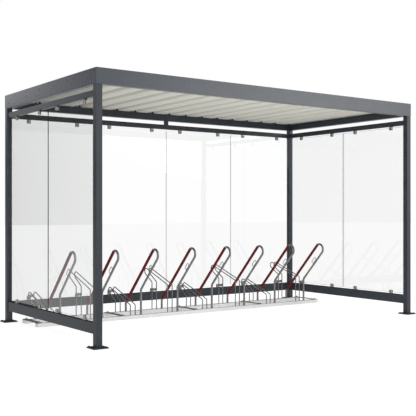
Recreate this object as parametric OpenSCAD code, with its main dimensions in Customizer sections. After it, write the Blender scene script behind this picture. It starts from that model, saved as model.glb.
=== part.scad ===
// Bike shelter: a steel frame with glass walls on three sides, a flat
// trapezoidal-sheet roof behind a folded fascia, and a rack for eight bikes.
// Millimetres, +Z up. X runs along the shelter, -Y is the open front, and the
// origin is on the ground under the middle of the roof.

/* [Roof] */
// Length of the shelter over the fascia
shelter_w = 4100; // [3600:10:4900]
// Depth of the shelter over the fascia
shelter_d = 2125; // [1900:5:2600]
// Height from the ground to the top of the fascia
shelter_h = 2450; // [2050:10:2950]
// Height of the fascia
fascia_h = 144; // [130:1:190]
// Sheet thickness of the fascia
fascia_t = 3; // [1.5:0.5:5]
// Width of the fascia's flange over the edge of the roof
fascia_flange = 62; // [40:1:90]
// Height of the roof beams
beam_h = 76; // [60:1:110]
// Distance from rib to rib of the roof sheet
rib_pitch = 243.2; // [200:0.1:300]
// First rib of the roof sheet, from the fascia's left face
first_rib = 110; // [80:1:160]
// Height of the ribs of the roof sheet
rib_h = 36; // [20:1:50]
// Width of a rib at its crown
rib_crown = 42; // [25:1:70]
// Width of a rib at its foot
rib_foot = 98; // [60:1:140]
// Thickness of the roof sheet
sheet_t = 1.5; // [0.8:0.1:3]

/* [Frame] */
// Side of the square posts
post_size = 60; // [45:1:80]
// Posts set back from the face of the fascia
post_inset = 2; // [1:1:20]
// Wall thickness of posts, beams and rails
tube_wall = 3; // [2:0.5:5]
// Side of the square base plates
plate_size = 150; // [120:1:200]
// Length of the cut at the corners of the base plates
plate_cut = 8; // [2:1:14]
// Thickness of the base plates
plate_t = 10; // [6:1:16]
// Distance from the edge of a base plate to the middle of its anchor holes
anchor_edge = 20; // [16:1:26]
// Diameter of the anchor holes
anchor_d = 14; // [10:1:16]
// Width of the rails
rail_w = 45; // [30:1:50]
// Height of the upper rails
upper_rail_h = 55; // [40:1:70]
// Gap between the upper rails and the fascia's lower flange
upper_rail_gap = 47; // [20:1:80]
// Height of the lower rails
lower_rail_h = 100; // [60:1:120]
// Height of the lower rails above the ground
lower_rail_z = 120; // [60:1:160]
// Width of the hanger in the middle of the rear upper rail
hanger_w = 40; // [30:1:60]

/* [Glass] */
// Thickness of the glass
glass_t = 8; // [6:1:12]
// Gap between neighbouring panes
pane_gap = 10; // [5:1:20]
// Gap between the rear panes and the posts
rear_edge_gap = 5; // [4:0.5:15]
// Gap between the side panes and the posts
side_edge_gap = 11.5; // [4:0.5:20]
// Gap between the rails and the edge of the glass
rail_glass_gap = 15; // [10:1:20]
// Width of a glass clamp
clamp_w = 45; // [35:1:60]
// Height of a glass clamp
clamp_h = 42; // [35:1:60]
// Depth of a glass clamp through the glass
clamp_d = 26; // [20:1:36]
// Distance from a pane's edge to the middle of a clamp
clamp_offset = 200; // [100:1:240]

/* [Rack] */
// Start of the rack's rails, from the fascia's left face
rack_start = 105; // [70:1:150]
// End of the rack's rails, from the fascia's right face
rack_end = 75; // [70:1:150]
// First hoop, from the left end of the rack's rails
first_hoop = 268; // [230:1:300]
// Distance from the fascia's rear face to the rear rack rail
rack_rear = 262; // [250:1:350]
// Distance between the two rack rails
rack_gauge = 342; // [320:1:420]
// Width of the rack rails
rack_rail_w = 60; // [50:1:80]
// Height of the rack rails
rack_rail_h = 40; // [30:1:50]
// Wall thickness of the rack rails
rack_rail_t = 3; // [2:0.5:4]
// Width of the cross bars of the rack
cross_bar_w = 60; // [50:1:80]
// Thickness of the cross bars of the rack
cross_bar_t = 6; // [4:1:10]
// Diameter of the holes for the rack's ground anchors
rack_anchor_d = 12; // [8:1:16]
// Diameter of the tube of the leaning hoops
hoop_tube_d = 25; // [20:0.5:30]
// Height of the leaning hoops
hoop_h = 792; // [700:1:900]
// Lean of the hoops above the horizontal
hoop_angle = 46; // [40:1:60]
// Distance between the two legs of a hoop, middle to middle
hoop_gap = 125; // [90:1:140]
// Height of the bend in the rear leg of a hoop
hoop_rear_bend_z = 144; // [120:1:180]
// Distance from a hoop to the middle of its wheel holder
holder_offset = 105; // [90:1:130]
// Distance between the two bars of a wheel holder, middle to middle
holder_gap = 62; // [50:1:80]
// Diameter of the bars of a wheel holder
holder_bar_d = 12; // [8:0.5:16]
// Height of the low wheel holders
holder_low_h = 321; // [300:1:360]
// Height of the high wheel holders above the low ones
holder_rise = 199; // [150:1:250]
// Radius of the loop at the top of a wheel holder
holder_loop_r = 36; // [25:0.5:40]
// Slope of the front of a wheel holder
holder_front_slope = 19; // [12:1:25]
// Slope of the back of a wheel holder
holder_back_slope = 30; // [26:1:34]
// Distance from a wheel holder's rear legs back to the middle of its loop
holder_reach = 130; // [100:1:135]
// Height of the plate that joins the two bars of a wheel holder
holder_plate_h = 30; // [20:1:40]

/* [Hidden] */
$fn = 48;

// How many of each piece there are
rear_panes = 4;
side_panes = 2;
roof_sheets = 4;
modules = 4;
module_places = 2;

// Bends, plates and welds of the rack
hoop_bend_r = 45;
holder_bend_r = 25;
holder_plate_t = 5;
holder_plate_drop = 9;
weld_sink = 1;

// A straight bar runs this far into the bends at its ends, which are this much thicker
bend_lap = 1.5;
bend_swell = 0.2;

// Plan
half_w = shelter_w / 2;
half_d = shelter_d / 2;
post_x = half_w - post_inset - post_size / 2;
post_y = half_d - post_inset - post_size / 2;
clear_w = 2 * post_x - post_size;
clear_d = 2 * post_y - post_size;
anchor_at = plate_size / 2 - anchor_edge;

// Levels
fascia_z = shelter_h - fascia_h;
beam_z = fascia_z + fascia_t;
beam_top = beam_z + beam_h;
upper_rail_z = fascia_z - upper_rail_gap - upper_rail_h;
lower_rail_top = lower_rail_z + lower_rail_h;
glass_z = lower_rail_top + rail_glass_gap;
glass_h = upper_rail_z - rail_glass_gap - glass_z;

// The fascia's lower flange covers the posts, and the roof beams stand on it
lower_flange = post_inset + post_size;
fascia_reach = max(fascia_flange, lower_flange);
beam_w = lower_flange - fascia_t;
beam_x = half_w - fascia_t - beam_w / 2;
beam_y = half_d - fascia_t - beam_w / 2;
side_beam_l = 2 * beam_y - beam_w;

// Roof sheets: all ribs together, shared out over the sheets
roof_inner_w = shelter_w - 2 * fascia_t;
roof_inner_d = shelter_d - 2 * fascia_t;
first_rib_x = first_rib - half_w;
rib_count = floor((roof_inner_w / 2 - rib_foot / 2 - first_rib_x) / rib_pitch) + 1;

// Panes
rear_pane_w = (clear_w - 2 * rear_edge_gap - (rear_panes - 1) * pane_gap) / rear_panes;
side_pane_w = (clear_d - 2 * side_edge_gap - (side_panes - 1) * pane_gap) / side_panes;

// Rack
rack_x0 = rack_start - half_w;
rack_l = shelter_w - rack_start - rack_end;
module_l = rack_l / modules;
place_pitch = module_l / module_places;
rack_rear_y = half_d - rack_rear;
rack_front_y = rack_rear_y - rack_gauge;

frame_grey = "#3d4349";
glass_tint = [0.86, 0.91, 0.91, 0.35];
zinc = "#b4b6b3";
steel = "#a9a79f";
sheet_cream = "#cfccbd";

// ---------------------------------------------------------------- helpers

// Rectangular tube of w by h along +Z, from z = 0 to z = l
module tube_section(w, h, l) {
    difference() {
        translate([-w / 2, -h / 2, 0]) cube([w, h, l]);
        translate([-w / 2 + tube_wall, -h / 2 + tube_wall, -1])
            cube([w - 2 * tube_wall, h - 2 * tube_wall, l + 2]);
    }
}

// Rectangular tube along X, w wide and h high, centred in X and Y and standing on z = 0
module tube_x(l, w, h) {
    translate([-l / 2, 0, h / 2]) rotate([90, 0, 90]) tube_section(w, h, l);
}

// The same along Y
module tube_y(l, w, h) {
    rotate([0, 0, 90]) tube_x(l, w, h);
}

// Square about the middle with its corners cut off
module cut_square(size, cut) {
    far = size / 2;
    near = far - cut;
    polygon([
        [near, far], [-near, far], [-far, near], [-far, -near],
        [-near, -far], [near, -far], [far, -near], [far, near]
    ]);
}

// Round bar in the YZ plane from a to b, points given as [y, z]. It runs on into a bend
// at b, and at a too unless that end is a foot.
module bar(a, b, d, foot = false) {
    run = b - a;
    start = foot ? 0 : bend_lap;
    translate([0, a[0], a[1]]) rotate([-atan2(run[0], run[1]), 0, 0])
        translate([0, 0, -start]) cylinder(d = d, h = norm(run) + start + bend_lap);
}

// Round bend in the YZ plane about c, from angle a0 through the turn, +Y being 0 and +Z 90
module bend(c, r, d, a0, turn) {
    translate([0, c[0], c[1]]) rotate([90, 0, 90]) rotate([0, 0, a0])
        rotate_extrude(angle = turn) translate([r, 0]) circle(d = d + bend_swell);
}

// Straight length that a bend of radius r takes from each of its two legs
function bend_run(r, turn) = r * tan(turn / 2);

// ---------------------------------------------------------------- frame

// Post with its base plate, in the corner that the signs sx and sy give
module post(sx, sy) {
    color(frame_grey) translate([sx * post_x, sy * post_y, 0]) {
        difference() {
            linear_extrude(plate_t) cut_square(plate_size, plate_cut);
            for (ax = [-1, 1], ay = [-1, 1])
                translate([ax * anchor_at, ay * anchor_at, -1])
                    cylinder(d = anchor_d, h = plate_t + 2);
        }
        translate([0, 0, plate_t]) tube_section(post_size, post_size, fascia_z - plate_t);
    }
}

// Roof beam along the front or the rear
module long_beam(sy) {
    color(frame_grey) translate([0, sy * beam_y, beam_z]) tube_x(roof_inner_w, beam_w, beam_h);
}

// Roof beam along a side, between the long beams
module side_beam(sx) {
    color(frame_grey) translate([sx * beam_x, 0, beam_z]) tube_y(side_beam_l, beam_w, beam_h);
}

// Rectangular ring in plan, reaching in from the fascia's face by depth
module plan_ring(depth) {
    difference() {
        square([shelter_w, shelter_d], center = true);
        square([shelter_w - 2 * depth, shelter_d - 2 * depth], center = true);
    }
}

// Whole fascia: its face, the flange over the roof's edge and the one under the beams
module fascia_ring() {
    translate([0, 0, fascia_z]) linear_extrude(fascia_h) plan_ring(fascia_t);
    translate([0, 0, shelter_h - fascia_t]) linear_extrude(fascia_t) plan_ring(fascia_flange);
    translate([0, 0, fascia_z]) linear_extrude(fascia_t) plan_ring(lower_flange);
}

// One side of the fascia, mitred at its ends; turn 0 is the front, 90 the right side
module fascia(turn) {
    along = turn % 180 == 0 ? shelter_w : shelter_d;
    across = turn % 180 == 0 ? shelter_d : shelter_w;
    color(frame_grey) intersection() {
        fascia_ring();
        rotate([0, 0, turn]) translate([0, -across / 2, fascia_z]) linear_extrude(fascia_h)
            polygon([
                [-along / 2, 0], [along / 2, 0],
                [along / 2 - fascia_reach, fascia_reach],
                [-along / 2 + fascia_reach, fascia_reach]
            ]);
    }
}

// X of rib i, counted from 0 at the left
function rib_x(i) = first_rib_x + i * rib_pitch;

// X of the joint after roof sheet n, halfway between two ribs
function sheet_joint(n) =
    n == 0 ? -roof_inner_w / 2
    : n == roof_sheets ? roof_inner_w / 2
    : rib_x(floor(n * rib_count / roof_sheets)) - rib_pitch / 2;

// Corners of one rib at x, its foot at height z
function rib_points(x, z) = [
    [x - rib_foot / 2, z],
    [x - rib_crown / 2, z + rib_h],
    [x + rib_crown / 2, z + rib_h],
    [x + rib_foot / 2, z]
];

// One face of roof sheet n, from left to right, with its pans at height z
function sheet_face(n, z) = [
    [sheet_joint(n - 1), z],
    for (i = [floor((n - 1) * rib_count / roof_sheets) : floor(n * rib_count / roof_sheets) - 1])
        each rib_points(rib_x(i), z),
    [sheet_joint(n), z]
];

function reversed(list) = [for (i = [len(list) - 1 : -1 : 0]) list[i]];

// Roof sheet n, counted from the left, its ribs along Y
module roof_sheet(n) {
    color(sheet_cream) translate([0, roof_inner_d / 2, beam_top]) rotate([90, 0, 0])
        linear_extrude(roof_inner_d)
            polygon(concat(sheet_face(n, 0), reversed(sheet_face(n, sheet_t))));
}

// Rails between the posts
module rear_rail(z, h) {
    color(frame_grey) translate([0, post_y, z]) tube_x(clear_w, rail_w, h);
}

module side_rail(sx, z, h) {
    color(frame_grey) translate([sx * post_x, 0, z]) tube_y(clear_d, rail_w, h);
}

// Short tube that hangs the middle of the rear upper rail from the fascia's flange
module rear_rail_hanger() {
    color(frame_grey) translate([0, post_y, upper_rail_z + upper_rail_h])
        tube_section(hanger_w, rail_w, upper_rail_gap);
}

// ---------------------------------------------------------------- glass

// Middle of pane i of n panes of width w, along their wall
function pane_middle(i, n, w) = (i - (n + 1) / 2) * (w + pane_gap);

// Pane of width w along X
module pane(w) {
    color(glass_tint) translate([-w / 2, -glass_t / 2, glass_z]) cube([w, glass_t, glass_h]);
}

// Pane i of the rear wall, counted from the left
module rear_glass(i) {
    translate([pane_middle(i, rear_panes, rear_pane_w), post_y, 0]) pane(rear_pane_w);
}

// Pane i of a side wall, counted from the front
module side_glass(sx, i) {
    translate([sx * post_x, pane_middle(i, side_panes, side_pane_w), 0])
        rotate([0, 0, 90]) pane(side_pane_w);
}

// Clamp that stands on the lower rail, its slot open at the top
module lower_clamp() {
    color(steel) translate([0, 0, lower_rail_top]) difference() {
        translate([-clamp_w / 2, -clamp_d / 2, 0]) cube([clamp_w, clamp_d, clamp_h]);
        translate([-clamp_w / 2 - 1, -glass_t / 2, rail_glass_gap])
            cube([clamp_w + 2, glass_t, clamp_h]);
    }
}

// The same clamp hanging from the upper rail
module upper_clamp() {
    translate([0, 0, lower_rail_top + upper_rail_z]) mirror([0, 0, 1]) lower_clamp();
}

// All clamps of a wall along X with n panes of width w
module wall_clamps(n, w) {
    for (i = [1 : n], side = [-1, 1])
        translate([pane_middle(i, n, w) + side * (w / 2 - clamp_offset), 0, 0]) {
            lower_clamp();
            upper_clamp();
        }
}

module rear_glass_clamps() {
    translate([0, post_y, 0]) wall_clamps(rear_panes, rear_pane_w);
}

module side_glass_clamps(sx) {
    translate([sx * post_x, 0, 0]) rotate([0, 0, 90]) wall_clamps(side_panes, side_pane_w);
}

// ---------------------------------------------------------------- rack

// X of the middle of cross bar i, counted from 0 at the left end
function cross_bar_x(i) =
    rack_x0 + (i < modules ? i * module_l + cross_bar_w / 2 : rack_l - cross_bar_w / 2);

// Inverted channel along X at the given y, drilled for ground anchors under each cross bar
module rack_rail(y) {
    color(zinc) difference() {
        translate([rack_x0, y - rack_rail_w / 2, 0]) cube([rack_l, rack_rail_w, rack_rail_h]);
        translate([rack_x0 - 1, y - rack_rail_w / 2 + rack_rail_t, -1])
            cube([rack_l + 2, rack_rail_w - 2 * rack_rail_t, rack_rail_h - rack_rail_t + 1]);
        for (i = [0 : modules])
            translate([cross_bar_x(i), y, 0]) cylinder(d = rack_anchor_d, h = rack_rail_h + 1);
    }
}

// Flat bars across the two rails, with the same holes
module rack_cross_bars() {
    color(zinc) for (i = [0 : modules]) translate([cross_bar_x(i), 0, rack_rail_h])
        difference() {
            translate([-cross_bar_w / 2, rack_front_y - rack_rail_w / 2, 0])
                cube([cross_bar_w, rack_gauge + rack_rail_w, cross_bar_t]);
            for (y = [rack_front_y, rack_rear_y])
                translate([0, y, -1]) cylinder(d = rack_anchor_d, h = cross_bar_t + 2);
        }
}

// Leaning hoop: two upright feet, two parallel leaning legs and a half circle on top.
// up points along the lean, across from the rear leg to the front leg.
module hoop() {
    up = [-cos(hoop_angle), sin(hoop_angle)];
    across = [-sin(hoop_angle), -cos(hoop_angle)];
    turn = 90 - hoop_angle;
    run = bend_run(hoop_bend_r, turn);
    top_r = hoop_gap / 2;
    rear_bend = [rack_rear_y, hoop_rear_bend_z];
    top_c_z = hoop_h - top_r - hoop_tube_d / 2;
    rear_top = rear_bend + (top_c_z - top_r * across[1] - rear_bend[1]) / up[1] * up;
    front_top = rear_top + hoop_gap * across;
    front_bend = front_top - (rack_front_y - front_top[0]) / -up[0] * up;

    bar([rack_rear_y, rack_rail_h], rear_bend - [0, run], hoop_tube_d, foot = true);
    bend(rear_bend - [hoop_bend_r, run], hoop_bend_r, hoop_tube_d, 0, turn);
    bar(rear_bend + run * up, rear_top, hoop_tube_d);
    bend(rear_top + top_r * across, top_r, hoop_tube_d, turn, 180);
    bar(front_bend + run * up, front_top, hoop_tube_d);
    bend(front_bend - [hoop_bend_r, run], hoop_bend_r, hoop_tube_d, 0, turn);
    bar([rack_front_y, rack_rail_h], front_bend - [0, run], hoop_tube_d, foot = true);
}

// One bar of a wheel holder, its loop raised by rise: up the rear leg, out along the
// back slope, round the loop, and down the front slope to the front leg
module holder_bar(rise) {
    back = [cos(holder_back_slope), sin(holder_back_slope)];
    front = [-cos(holder_front_slope), -sin(holder_front_slope)];
    loop_c = [rack_rear_y + holder_reach, loop_z(rise)];
    back_top = loop_c + holder_loop_r * [back[1], -back[0]];
    rear_bend = back_top - (back_top[0] - rack_rear_y) / back[0] * back;
    front_top = loop_c + holder_loop_r * [front[1], -front[0]];
    front_bend = front_top + (front_top[0] - rack_front_y) / -front[0] * front;
    rear_turn = 90 - holder_back_slope;
    front_turn = 90 - holder_front_slope;
    rear_run = bend_run(holder_bend_r, rear_turn);
    front_run = bend_run(holder_bend_r, front_turn);

    bar([rack_rear_y, rack_rail_h], rear_bend - [0, rear_run], holder_bar_d, foot = true);
    bend(rear_bend + [holder_bend_r, -rear_run], holder_bend_r, holder_bar_d,
        180 - rear_turn, rear_turn);
    bar(rear_bend + rear_run * back, back_top, holder_bar_d);
    bend(loop_c, holder_loop_r, holder_bar_d, holder_back_slope - 90,
        180 + holder_front_slope - holder_back_slope);
    bar(front_top, front_bend - front_run * front, holder_bar_d);
    bend(front_bend + [holder_bend_r, -front_run], holder_bend_r, holder_bar_d,
        180 - front_turn, front_turn);
    bar([rack_front_y, rack_rail_h], front_bend - [0, front_run], holder_bar_d, foot = true);
}

// Height of the middle of a wheel holder's loop
function loop_z(rise) = holder_low_h + rise - holder_bar_d / 2 - holder_loop_r;

// Two bars joined by a plate, just below the middle of a low loop: behind the loops of
// a low holder, behind the rear legs of a high one
module wheel_holder(rise) {
    plate_y = rack_rear_y + (rise > 0 ? 0 : holder_reach + holder_loop_r)
        + holder_bar_d / 2 - weld_sink;
    plate_z = loop_z(0) - holder_plate_drop - holder_plate_h / 2;
    for (side = [-1, 1]) translate([side * holder_gap / 2, 0, 0]) holder_bar(rise);
    translate([-(holder_gap + holder_bar_d) / 2, plate_y, plate_z])
        cube([holder_gap + holder_bar_d, holder_plate_t, holder_plate_h]);
}

// X of the hoop at the given place of module m, both counted from 0 at the left
function hoop_x(m, place) = rack_x0 + m * module_l + first_hoop + place * place_pitch;

module rack_hoops(m) {
    color(zinc) for (place = [0 : module_places - 1])
        translate([hoop_x(m, place), 0, 0]) hoop();
}

// Low and high wheel holders take turns
module wheel_holders(m) {
    color(zinc) for (place = [0 : module_places - 1])
        translate([hoop_x(m, place) - holder_offset, 0, 0])
            wheel_holder(place % 2 == 0 ? 0 : holder_rise);
}

// ---------------------------------------------------------------- nodes

post(-1, -1);  // front_left_post
post(1, -1);  // front_right_post
post(-1, 1);  // rear_left_post
post(1, 1);  // rear_right_post
long_beam(-1);  // front_roof_beam
long_beam(1);  // rear_roof_beam
side_beam(-1);  // left_roof_beam
side_beam(1);  // right_roof_beam
fascia(0);  // front_fascia
fascia(180);  // rear_fascia
fascia(270);  // left_fascia
fascia(90);  // right_fascia
roof_sheet(1);  // roof_sheet_1
roof_sheet(2);  // roof_sheet_2
roof_sheet(3);  // roof_sheet_3
roof_sheet(4);  // roof_sheet_4
rear_rail(upper_rail_z, upper_rail_h);  // rear_upper_rail
side_rail(-1, upper_rail_z, upper_rail_h);  // left_upper_rail
side_rail(1, upper_rail_z, upper_rail_h);  // right_upper_rail
rear_rail_hanger();
rear_rail(lower_rail_z, lower_rail_h);  // rear_lower_rail
side_rail(-1, lower_rail_z, lower_rail_h);  // left_lower_rail
side_rail(1, lower_rail_z, lower_rail_h);  // right_lower_rail
rear_glass(1);  // rear_glass_1
rear_glass(2);  // rear_glass_2
rear_glass(3);  // rear_glass_3
rear_glass(4);  // rear_glass_4
side_glass(-1, 1);  // left_glass_front
side_glass(-1, 2);  // left_glass_rear
side_glass(1, 1);  // right_glass_front
side_glass(1, 2);  // right_glass_rear
rear_glass_clamps();
side_glass_clamps(-1);  // left_glass_clamps
side_glass_clamps(1);  // right_glass_clamps
rack_rail(rack_front_y);  // rack_front_rail
rack_rail(rack_rear_y);  // rack_rear_rail
rack_cross_bars();
rack_hoops(0);  // rack_hoops_1
rack_hoops(1);  // rack_hoops_2
rack_hoops(2);  // rack_hoops_3
rack_hoops(3);  // rack_hoops_4
wheel_holders(0);  // wheel_holders_1
wheel_holders(1);  // wheel_holders_2
wheel_holders(2);  // wheel_holders_3
wheel_holders(3);  // wheel_holders_4
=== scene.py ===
"""Looks of the bike shelter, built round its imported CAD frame.

Metres, +Z up. X runs along the shelter, -Y is the open front, z = 0 is the ground.
"""

import math

import bmesh
import bpy
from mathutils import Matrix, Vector


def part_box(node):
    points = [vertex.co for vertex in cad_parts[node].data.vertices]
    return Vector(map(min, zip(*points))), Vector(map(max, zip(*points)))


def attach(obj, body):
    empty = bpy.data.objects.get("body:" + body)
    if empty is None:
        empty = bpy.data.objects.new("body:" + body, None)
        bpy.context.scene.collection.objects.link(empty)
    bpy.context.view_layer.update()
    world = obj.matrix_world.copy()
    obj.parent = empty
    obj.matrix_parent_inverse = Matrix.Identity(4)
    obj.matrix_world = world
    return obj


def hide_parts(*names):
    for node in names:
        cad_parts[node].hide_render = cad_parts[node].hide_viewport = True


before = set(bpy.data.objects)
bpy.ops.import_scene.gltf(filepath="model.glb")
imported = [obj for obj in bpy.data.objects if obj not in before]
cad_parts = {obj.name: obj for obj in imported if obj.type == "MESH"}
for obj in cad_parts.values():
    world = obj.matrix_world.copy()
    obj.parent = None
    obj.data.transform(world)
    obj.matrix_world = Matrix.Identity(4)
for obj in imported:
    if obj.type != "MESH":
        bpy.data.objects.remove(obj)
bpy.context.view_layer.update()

MM = 0.001
BODY = "root"
X, Y, Z = Vector((1, 0, 0)), Vector((0, 1, 0)), Vector((0, 0, 1))
CORNERS = ("front_left", "front_right", "rear_left", "rear_right")
SIDES = ("left", "right")

# Lean of the rack's hoops over the ground, and the direction in which their legs run up
HOOP_ANGLE = math.radians(46)
LEAN = Vector((0, -math.cos(HOOP_ANGLE), math.sin(HOOP_ANGLE)))


# ---------------------------------------------------------------- mesh tools


class Shape:
    """Vertices and faces of one piece. Each face keeps the number of its material."""

    def __init__(self):
        self.points, self.faces, self.slots = [], [], []

    def add(self, points, faces, slot=0):
        start = len(self.points)
        self.points += [tuple(p) for p in points]
        self.faces += [tuple(start + i for i in face) for face in faces]
        self.slots += [slot] * len(faces)

    def loft(self, rings, closed=False, slot=0, cap_slot=None):
        """Skin over rings of equal length, joined into a loop or capped at both ends."""
        n, count = len(rings[0]), len(rings)
        skin = []
        for k in range(count if closed else count - 1):
            a, b = k * n, (k + 1) % count * n
            skin += [(a + i, a + (i + 1) % n, b + (i + 1) % n, b + i) for i in range(n)]
        points = [p for ring in rings for p in ring]
        start = len(self.points)
        self.add(points, skin, slot)
        if not closed:
            for first in (0, (count - 1) * n):
                self.faces.append(tuple(start + first + i for i in range(n)))
                self.slots.append(slot if cap_slot is None else cap_slot)


def circle_angles(sides):
    return [2 * math.pi * i / sides for i in range(sides)]


def sweep(shape, path, radius, side, sides=16, closed=False):
    """Round bar along a path that lies in the plane across side. radius is a number, or
    a function of the point's number."""
    side = Vector(side).normalized()
    path = [Vector(p) for p in path]
    last = len(path) - 1
    rings = []
    for k, p in enumerate(path):
        before = path[k - 1] if closed or k > 0 else p
        after = path[(k + 1) % len(path)] if closed or k < last else p
        out = side.cross(after - before).normalized()
        r = radius(k) if callable(radius) else radius
        rings.append([p + r * (math.cos(a) * out + math.sin(a) * side)
                      for a in circle_angles(sides)])
    shape.loft(rings, closed)


def lathe(shape, profile, centre, axis=Z, sides=24, slot=0):
    """Turned solid: profile is (radius, height) along the axis from the centre."""
    axis = Vector(axis).normalized()
    u = axis.orthogonal().normalized()
    v = axis.cross(u)
    shape.loft([[Vector(centre) + h * axis + r * (math.cos(a) * u + math.sin(a) * v)
                 for a in circle_angles(sides)] for r, h in profile], slot=slot)


def slab(shape, outline, origin, u, v, depth):
    """Outline in the plane of u and v, thickened by depth along u x v."""
    n = Vector(u).cross(Vector(v)).normalized()
    shape.loft([[Vector(origin) + a * Vector(u) + b * Vector(v) + d * n for a, b in outline]
                for d in (0, depth)])


def rounded(w, h, r, steps=4):
    """Outline of a rectangle w by h about its middle, its corners rounded."""
    corners = [(1, 1), (-1, 1), (-1, -1), (1, -1)]
    return [(sx * (w / 2 - r) + r * math.cos(math.pi / 2 * (q + k / steps)),
             sy * (h / 2 - r) + r * math.sin(math.pi / 2 * (q + k / steps)))
            for q, (sx, sy) in enumerate(corners) for k in range(steps + 1)]


def arc(centre, radius, start, turn, steps):
    """Points (y, z) on an arc. Angles in degrees, +Y being 0 and +Z 90."""
    return [(centre[0] + radius * math.cos(math.radians(start + turn * k / steps)),
             centre[1] + radius * math.sin(math.radians(start + turn * k / steps)))
            for k in range(steps + 1)]


def add_bevel(obj, width, segments=2):
    bevel = obj.modifiers.new("edges", "BEVEL")
    bevel.limit_method = "ANGLE"
    bevel.angle_limit = math.radians(40)
    bevel.width = width
    bevel.segments = segments
    bevel.harden_normals = True


def piece(name, shape, *materials, bevel=0, segments=2, smooth=35, slot=None, replaces=()):
    """Makes a mesh object of a shape, and lets it ride on the frame."""
    mesh = bpy.data.meshes.new(name)
    mesh.from_pydata(shape.points, [], shape.faces)
    for material in materials:
        mesh.materials.append(material)
    mesh.polygons.foreach_set("material_index", shape.slots)
    work = bmesh.new()
    work.from_mesh(mesh)
    bmesh.ops.recalc_face_normals(work, faces=work.faces)
    work.to_mesh(mesh)
    work.free()
    mesh.shade_smooth()
    mesh.set_sharp_from_angle(angle=math.radians(smooth))
    obj = bpy.data.objects.new(name, mesh)
    bpy.context.scene.collection.objects.link(obj)
    if bevel:
        add_bevel(obj, bevel, segments)
    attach(obj, BODY)
    if replaces:
        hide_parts(*replaces)
    return obj


def middle(node):
    lo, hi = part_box(node)
    return (lo + hi) / 2


def solids(node):
    """(lowest corner, highest corner) of each separate solid of a CAD node, from the left
    and the front."""
    work = bmesh.new()
    work.from_mesh(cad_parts[node].data)
    bmesh.ops.remove_doubles(work, verts=work.verts, dist=0.01 * MM)
    left, found = set(work.verts), []
    while left:
        stack, group = [left.pop()], []
        while stack:
            v = stack.pop()
            group.append(v.co.copy())
            for edge in v.link_edges:
                other = edge.other_vert(v)
                if other in left:
                    left.remove(other)
                    stack.append(other)
        found.append((Vector(map(min, *group)), Vector(map(max, *group))))
    work.free()
    return sorted(found, key=lambda box: (round(box[0].x, 4), round(box[0].y, 4), box[0].z))


# ---------------------------------------------------------------- materials


def node_maker(tree):
    """Function that adds a shader node to a tree, with its inputs set or linked."""
    def node(kind, inputs=None, **settings):
        made = tree.nodes.new("ShaderNode" + kind)
        for key, value in settings.items():
            setattr(made, key, value)
        for key, value in (inputs or {}).items():
            if isinstance(value, bpy.types.NodeSocket):
                tree.links.new(value, made.inputs[key])
            else:
                made.inputs[key].default_value = value
        return made
    return node


class Finish:
    """A material's node tree round its Principled shader. place is the piece's own
    coordinates, in metres."""

    def __init__(self, name, **sockets):
        self.material = bpy.data.materials.new(name)
        self.material.use_nodes = True
        self.tree = self.material.node_tree
        self.shader = self.tree.nodes["Principled BSDF"]
        self.output = self.tree.nodes["Material Output"]
        self.node = node_maker(self.tree)
        self.place = self.node("TexCoord").outputs["Object"]
        for socket, value in sockets.items():
            self.shader.inputs[socket.replace("_", " ")].default_value = value

    def link(self, socket, name):
        self.tree.links.new(socket, self.shader.inputs[name])

    def noise(self, scale, detail=2.0, roughness=0.5, place=None):
        return self.node("TexNoise", {"Vector": place or self.place, "Scale": scale,
                                      "Detail": detail, "Roughness": roughness}).outputs["Fac"]

    def stretched(self, x, y, z):
        """Coordinates scaled by x, y and z, which draws a pattern out along the smallest."""
        return self.node("Mapping", {"Vector": self.place, "Scale": (x, y, z)}).outputs["Vector"]

    def ranged(self, value, low, high, start=0.0, end=1.0):
        """value from start to end, as low to high."""
        return self.node("MapRange", {"Value": value, "From Min": start, "From Max": end,
                                      "To Min": low, "To Max": high}).outputs["Result"]

    def blend(self, factor, a, b):
        """Colour a where the factor is 0 and b where it is 1."""
        mix = self.node("Mix", data_type="RGBA")
        first, second = mix.inputs[6], mix.inputs[7]
        for socket, value in ((mix.inputs["Factor"], factor), (first, a), (second, b)):
            if isinstance(value, bpy.types.NodeSocket):
                self.tree.links.new(value, socket)
            else:
                socket.default_value = value if isinstance(value, float) else (*value[:3], 1)
        return mix.outputs[2]

    def math(self, operation, a, b=0.0):
        return self.node("Math", {0: a, 1: b}, operation=operation).outputs["Value"]

    def bump(self, height, strength, distance):
        self.link(self.node("Bump", {"Height": height, "Strength": strength,
                                     "Distance": distance}).outputs["Normal"], "Normal")


def shade(colour, factor):
    """Colour made darker or lighter by a factor."""
    return tuple(c * factor for c in colour)


DUST = (0.32, 0.31, 0.29)
# Colour of the painted shade inside the roof sheet's ribs
RIB_SHADE = (0.05, 0.05, 0.04)


def powder_coat(name, colour, roughness, specular):
    """Satin powder coat: a fine orange peel, slow changes of tone, and a little dust. Level
    tops are dull."""
    f = Finish(name)
    cloud = f.noise(1.3, 3)
    dust = f.noise(24, 2)
    tone = f.blend(f.ranged(cloud, 0, 1, 0.3, 0.7), shade(colour, 0.94), shade(colour, 1.06))
    f.link(f.blend(f.ranged(dust, 0, 0.02, 0.4, 0.8), tone, DUST), "Base Color")
    up = f.node("SeparateXYZ", {"Vector": f.node("NewGeometry").outputs["Normal"]}).outputs["Z"]
    satin = f.ranged(dust, roughness - 0.01, roughness + 0.02, 0.3, 0.7)
    dull = f.ranged(up, 0, 0.8, 0.9, 0.99)
    f.link(f.math("MAXIMUM", satin, dull), "Roughness")
    f.link(f.ranged(up, specular, 0.06, 0.9, 0.99), "Specular IOR Level")
    f.bump(f.noise(420, 1), 0.006, 0.3 * MM)
    return f.material


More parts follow.
